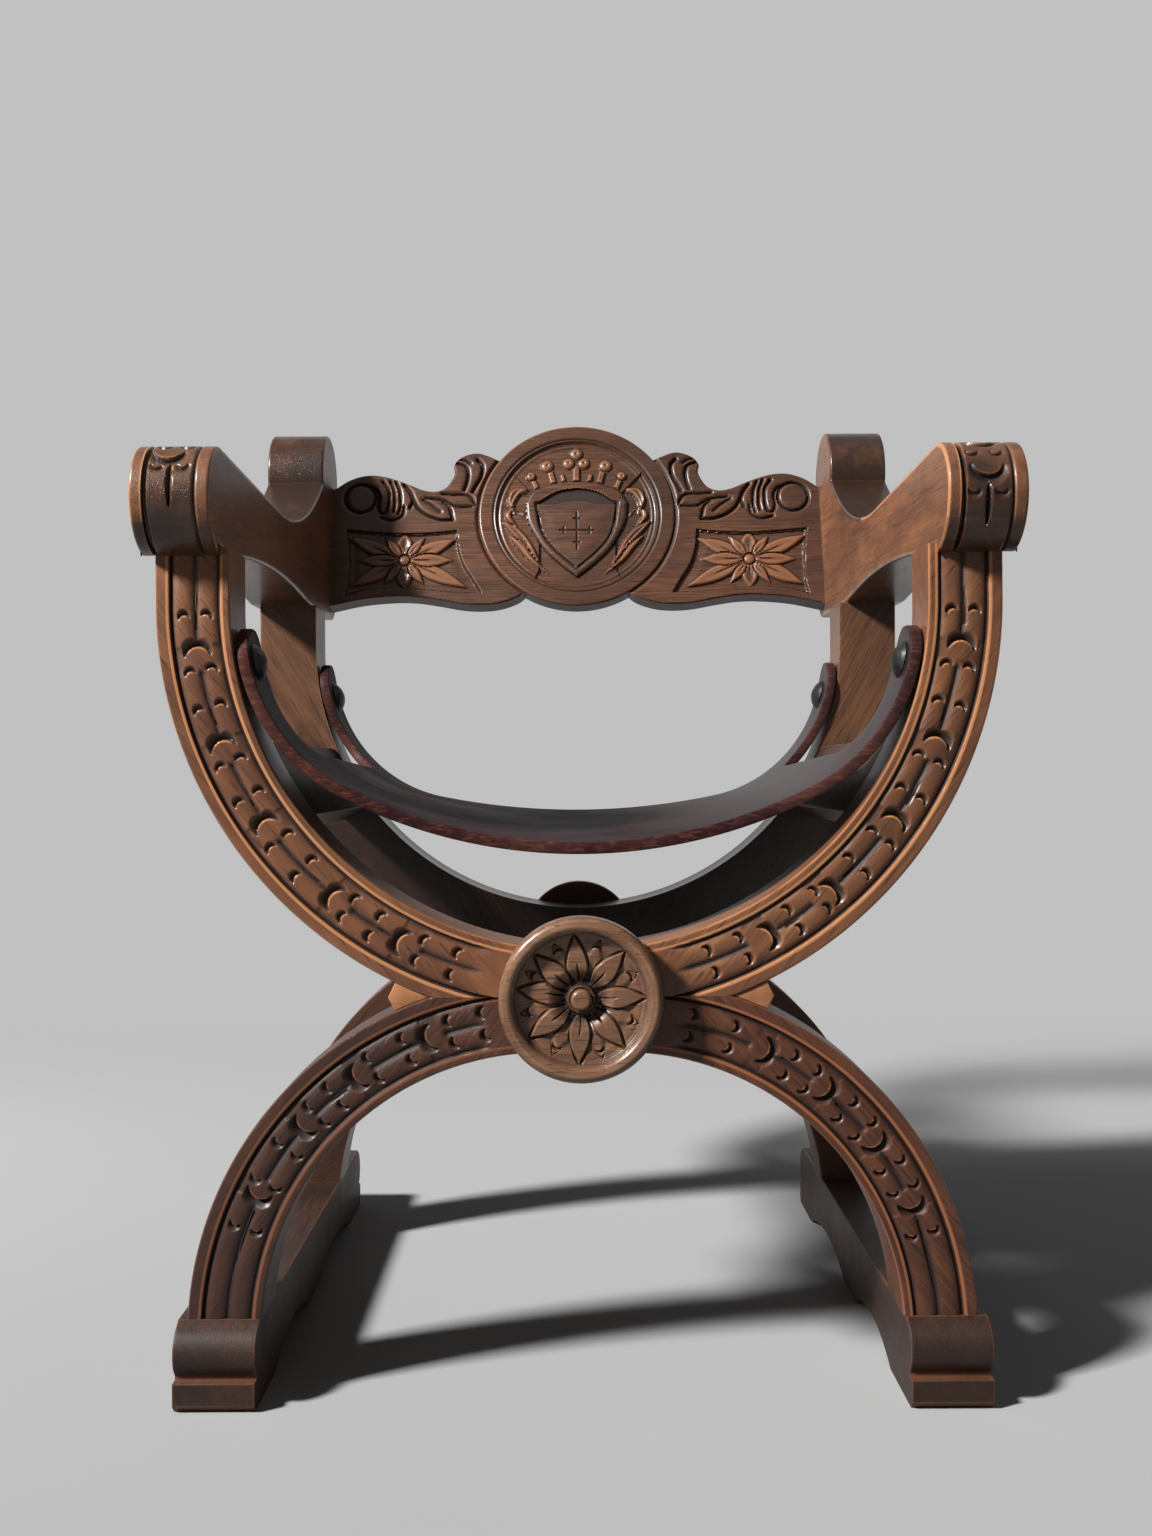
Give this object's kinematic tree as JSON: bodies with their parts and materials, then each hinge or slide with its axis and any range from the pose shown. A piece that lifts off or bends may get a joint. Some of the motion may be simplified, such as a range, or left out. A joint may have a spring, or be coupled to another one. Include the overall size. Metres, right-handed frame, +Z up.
{
  "type": "dante chair",
  "caption": "Wooden armchair on crossed curved frames front and back, with a hung leather seat, scrolled arms and a carved back rail.",
  "frame": {"origin": "on the floor, under the middle of the whole chair's box", "axes": "+Z up, the chair faces -Y, +X is its right-hand side as seen from in front"},
  "size_m": [0.624, 0.5834, 0.8221],
  "materials": {
    "carved_wood": "waxed, worn brown walnut or stained oak",
    "dowel_wood": "plain hardwood",
    "seat_leather": "thick, near-black oxblood hide, polished by wear",
    "nail_iron": "blackened domes"
  },
  "bodies": {
    "root": {"front_upright_right": "carved_wood", "front_upright_left": "carved_wood", "rear_upright_right": "carved_wood", "rear_upright_left": "carved_wood", "front_leg_right": "carved_wood", "front_leg_left": "carved_wood", "rear_leg_right": "carved_wood", "rear_leg_left": "carved_wood", "front_notch_wedges": "carved_wood", "rear_notch_wedges": "carved_wood", "front_rosette": "carved_wood", "rosette_button": "carved_wood", "rear_boss": "carved_wood", "crossing_stretcher": "carved_wood", "runner_right": "carved_wood", "runner_left": "carved_wood", "crest_rail": "carved_wood", "arm_right": "carved_wood", "arm_left": "carved_wood", "seat_rail_right": "carved_wood", "seat_rail_left": "carved_wood", "crossing_dowels": "dowel_wood", "arm_dowels": "dowel_wood", "leg_dowels": "dowel_wood", "rail_dowels": "dowel_wood", "leather_seat": "seat_leather", "seat_nails": "nail_iron"}
  },
  "joints": []
}
